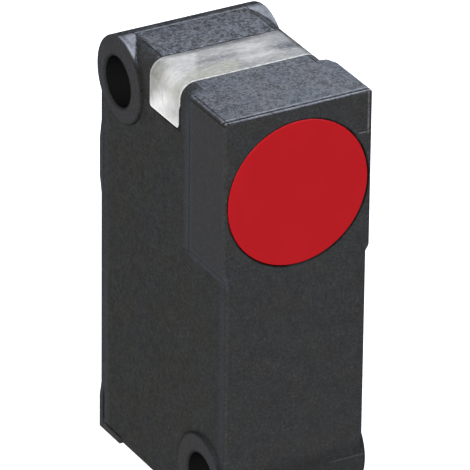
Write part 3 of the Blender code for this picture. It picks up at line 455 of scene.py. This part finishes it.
def guide_top(s, front, back, wander, streak):
    """The guide's top, painted with the light and shade it refracts: a grey streak along it, cream at the
    front left, grey to the right, a bright patch of painted light, and painted shade at its rear border and
    where it bends down at the far end.
    """
    along = s.math("ADD", s.y, wander)
    across = s.math("ADD", s.x, s.product(wander, 2.0))
    color = s.blend(s.span(streak, 0.35, 0.65), (0.184, 0.177, 0.153), (0.306, 0.295, 0.256))
    bright = s.product(s.within(across, 0.5, 2.3, 0.6), s.within(along, front + 0.9, back - 0.7, 0.25))
    color = s.blend(s.product(bright, 0.8), color, (0.427, 0.413, 0.364))
    cream = s.product(s.span(across, 0.0, -0.8), s.span(along, -0.5, -0.8))
    color = s.blend(s.product(cream, 0.8), color, (0.27, 0.258, 0.19))
    dim = s.product(s.within(across, -0.7, 0.8, 0.4), s.span(along, front + 1.0, front + 0.6))
    color = s.blend(s.product(dim, 0.6), color, (0.15, 0.147, 0.13))
    right = s.product(s.span(across, 2.4, 3.4), s.span(along, front + 0.3, front + 1.0, 0.5, 0.8))
    color = s.blend(right, color, (0.19, 0.19, 0.178))
    lean = s.math("ADD", along, s.span(s.x, 0.5, 3.5, 0.0, 0.3))
    streak_line = s.within(lean, -0.25, 0.25, 0.2)
    depth = s.math("SUBTRACT", 1.0, s.product(s.within(across, -0.2, 2.4, 0.5), 0.5))
    color = s.blend(s.product(streak_line, depth, 0.9), color, (0.12, 0.119, 0.109))
    far_streak = s.product(s.within(lean, -0.35, 0.3, 0.25), s.span(s.x, 2.4, 3.4))
    color = s.blend(s.product(far_streak, 0.85), color, (0.03, 0.032, 0.033))
    bend_end = s.math("SUBTRACT", s.x, s.product(s.y, 0.545))
    left = s.product(s.span(bend_end, -2.35, -2.75), s.span(s.y, front + 0.2, front + 1.6, 0.05, 0.9))
    color = s.blend(left, color, (0.388, 0.375, 0.33))
    middle = s.within(s.x, -2.8, 2.3, 1.0)
    border = s.product(s.span(s.y, back - 0.5, back - 0.2), s.span(middle, 0.0, 1.0, 0.45, 0.9))
    color = s.blend(border, color, (0.035, 0.035, 0.034))
    far_bend_shade = s.product(s.span(s.x, 3.92, 4.15), s.span(s.y, front + 0.2, back - 0.6, 0.2, 0.9))
    return s.blend(far_bend_shade, color, (0.012, 0.012, 0.01))


def milky_guide():
    """Milky clear plastic, its colour painted with the light and shade it scatters, and glowing a little with
    painted light.
    """
    s = Surface("milky_guide")
    low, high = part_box("light_guide")
    front, back = low.y / MM, high.y / MM
    foot, top = GUIDE_LEG_FOOT_Z, high.z / MM
    streak = s.noise(0.35, 4.0, 0.65, (0.3, 1.4, 0.8))
    cloud = s.noise(0.9, 3.0, 0.6, (0.6, 1.0, 0.8))
    fleck = s.noise(0.2, 3.0, 0.6, (0.6, 1.0, 1.0))
    wander = s.product(s.math("SUBTRACT", cloud, 0.5), 1.2)
    flank = guide_flank(s, back, top, wander)
    face = guide_top(s, front, back, wander, streak)
    on_top = s.within(s.x, -SHOULDER_X - 0.15, SHOULDER_X + 0.65, 0.25)
    color = s.blend(on_top, flank, face)
    color = s.blend(s.product(s.span(fleck, 0.5, 0.72), 0.2), color, (0.64, 0.64, 0.61))
    grit = s.noise(0.17, 3.0, 0.7, (0.4, 1.1, 0.4))
    color = s.blend(s.product(s.span(grit, 0.5, 0.74), 0.22), color, (0.86, 0.86, 0.84))
    smudge = s.span(s.noise(0.5, 4.0, 0.7, (0.6, 1.2, 0.5)), 0.56, 0.66)
    stain = s.math("MAXIMUM", s.product(s.span(grit, 0.48, 0.26), 0.3), s.product(smudge, 0.3))
    color = s.blend(stain, color, (0.20, 0.198, 0.182))
    # Painted highlights along the guide's front edge and along its feet.
    front_rim_highlight = s.product(s.line(s.y, front + 0.05, 0.15), s.span(fleck, 0.38, 0.5), 0.5)
    foot_rim_highlight = s.product(s.line(s.z, foot + 0.05, 0.14), s.span(s.y, front + 0.3, front + 1.5, 0.4, 1.0))
    color = s.blend(front_rim_highlight, color, (0.86, 0.86, 0.83))
    color = s.blend(foot_rim_highlight, color, (0.98, 0.98, 0.97))
    # Painted shade in a wedge along the front of each leg and round its tip, standing in for a shadowed gap.
    inset = s.span(s.z, top - 1.3, top - 1.75, front - 0.06, front + 0.1)
    tip = s.math("POWER", s.span(s.z, foot + 0.35, foot), 2.0)
    wedge = s.math("SUBTRACT", s.y, s.math("ADD", inset, s.product(tip, 0.22)))
    color = s.blend(s.span(wedge, 0.05, -0.02), color, (0.02, 0.02, 0.02))
    s.set(
        Base_Color=color,
        Roughness=s.span(streak, 0.3, 0.7, 0.28, 0.42),
        Specular_IOR_Level=0.2,
        Subsurface_Weight=0.15,
        Subsurface_Radius=(0.0003, 0.0003, 0.0003),
        # The emission is painted light: a glow in the guide's own painted colours.
        Emission_Color=color,
        Emission_Strength=0.19,
        Normal=s.relief(streak, 0.012, s.rounded_normal(0.08), 0.4),
    )
    return s.material


def plain_detail(name, dark, light, size, roughness, metallic=0.0, depth=0.008):
    """A material with cloudy colour and fine relief, for the pieces inside."""
    s = Surface(name)
    cloud = s.noise(size * 6, 2.0)
    grain = s.noise(size, 3.0)
    tone = s.total(s.product(cloud, 0.5), s.product(grain, 0.5))
    s.set(
        Base_Color=s.blend(s.span(tone, 0.35, 0.65), dark, light),
        Roughness=s.span(grain, 0.3, 0.7, roughness - 0.08, roughness + 0.08),
        Metallic=metallic,
        Normal=s.relief(grain, depth, None, 0.5),
    )
    return s.material


def dress(names, material):
    for name in names:
        mesh = NODES[name].data
        mesh.materials.clear()
        mesh.materials.append(material)


def dress_all():
    dress(["housing"], black_plastic("black_housing", True))
    dress(["rear_cover"], black_plastic("black_cover", False))
    dress(["sensing_face"], red_plastic())
    dress(["light_guide"], milky_guide())
    dress(["cable_bush"], plain_detail("bush_rubber", (0.012, 0.012, 0.012), (0.03, 0.03, 0.03), 0.1, 0.7))
    dress(["resin_plug"], plain_detail("cast_resin", (0.03, 0.026, 0.022), (0.06, 0.052, 0.045), 0.3, 0.3))
    ferrite = plain_detail("sintered_ferrite", (0.04, 0.04, 0.044), (0.08, 0.08, 0.085), 0.08, 0.7)
    dress(["ferrite_core"], ferrite)
    dress(["coil_bobbin"], plain_detail("former_plastic", (0.55, 0.53, 0.45), (0.66, 0.64, 0.56), 0.2, 0.5))
    copper = plain_detail("enamelled_copper", (0.62, 0.27, 0.13), (0.78, 0.40, 0.24), 0.1, 0.32, 1.0)
    dress(["coil_winding", "coil_lead_start", "coil_lead_finish"], copper)
    laminate = plain_detail("board_laminate", (0.02, 0.15, 0.06), (0.04, 0.24, 0.11), 0.25, 0.42)
    dress(["circuit_board"], laminate)
    mould = plain_detail("component_mould", (0.015, 0.015, 0.016), (0.03, 0.03, 0.032), 0.05, 0.5)
    dress(["sensor_ic", "output_transistor", "polarity_diode", "surge_diode"], mould)
    ceramic = plain_detail("component_ceramic", (0.38, 0.29, 0.19), (0.52, 0.43, 0.31), 0.08, 0.5)
    dress(["tuning_capacitor", "filter_capacitor", "supply_capacitor"], ceramic)
    dress(["trim_resistor", "led_resistor", "output_resistor"], ceramic)
    lens = plain_detail("led_lens", (0.70, 0.71, 0.68), (0.82, 0.83, 0.80), 0.15, 0.25)
    dress(["status_led", "power_led"], lens)
    tin = plain_detail("tinned_metal", (0.66, 0.66, 0.64), (0.80, 0.80, 0.78), 0.07, 0.33, 1.0)
    dress(["terminal_plus", "terminal_minus", "terminal_output"], tin)


def smooth_nodes():
    for node in NODES.values():
        node.data.shade_smooth()
        node.data.set_sharp_from_angle(angle=math.radians(30))


def make_floor():
    size = 3.0
    depth = -0.02 * MM
    corners = [(-size, -size, depth), (size, -size, depth), (size, size, depth), (-size, size, depth)]
    mesh = bpy.data.meshes.new("floor")
    mesh.from_pydata(corners, [], [(0, 1, 2, 3)])
    floor = bpy.data.objects.new("floor", mesh)
    bpy.context.scene.collection.objects.link(floor)
    paper = bpy.data.materials.new("white_paper")
    paper.use_nodes = True
    shader = paper.node_tree.nodes["Principled BSDF"]
    shader.inputs["Base Color"].default_value = (0.8, 0.8, 0.8, 1.0)
    shader.inputs["Roughness"].default_value = 0.9
    shader.inputs["Emission Color"].default_value = (1.0, 1.0, 1.0, 1.0)
    shader.inputs["Emission Strength"].default_value = 0.75
    mesh.materials.append(paper)
    floor.visible_glossy = False
    floor.visible_diffuse = False


def soft_box(name, place, size, power, color):
    """A rectangular soft light that looks at the middle of the sensor."""
    light = bpy.data.lights.new(name, "AREA")
    light.shape = "RECTANGLE"
    light.size, light.size_y = size
    light.energy = power
    light.color = color
    lamp = bpy.data.objects.new(name, light)
    bpy.context.scene.collection.objects.link(lamp)
    lamp.location = place
    lamp.rotation_mode = "QUATERNION"
    lamp.rotation_quaternion = (MIDDLE - lamp.location).to_track_quat("-Z", "Y")
    return lamp


def make_light():
    key = soft_box("key_light", (-0.49, -0.45, 0.30), (0.5, 0.5), 6.9, (1.0, 1.0, 1.0))
    key.visible_glossy = False
    soft_box("side_light", (0.42, 0.05, 0.60), (1.7, 0.62), 10.0, (0.80, 0.88, 1.08))
    world = bpy.data.worlds.new("studio")
    bpy.context.scene.world = world
    world.use_nodes = True
    background = world.node_tree.nodes["Background"]
    background.inputs["Color"].default_value = (1.0, 1.0, 1.0, 1.0)
    background.inputs["Strength"].default_value = 0.1


def make_camera():
    data = bpy.data.cameras.new("camera")
    data.sensor_width = SENSOR_WIDTH
    data.lens = FOCAL_PIXELS / IMAGE_PIXELS * SENSOR_WIDTH
    data.clip_start = 0.01
    data.clip_end = 20.0
    camera = bpy.data.objects.new("camera", data)
    bpy.context.scene.collection.objects.link(camera)
    turn = Matrix.Rotation(math.radians(CAMERA_AZIMUTH), 3, "Z")
    turn @= Matrix.Rotation(math.radians(90 - CAMERA_ELEVATION), 3, "X")
    turn @= Matrix.Rotation(math.radians(CAMERA_ROLL), 3, "Z")
    camera.rotation_mode = "QUATERNION"
    camera.rotation_quaternion = turn.to_quaternion()
    camera.location = MIDDLE + turn @ Vector((CAMERA_RIGHTWARD, CAMERA_UPWARD, CAMERA_DISTANCE))
    bpy.context.scene.camera = camera


smooth_nodes()
dress_all()
make_floor()
make_light()
make_camera()
bpy.context.scene.view_settings.view_transform = "Standard"
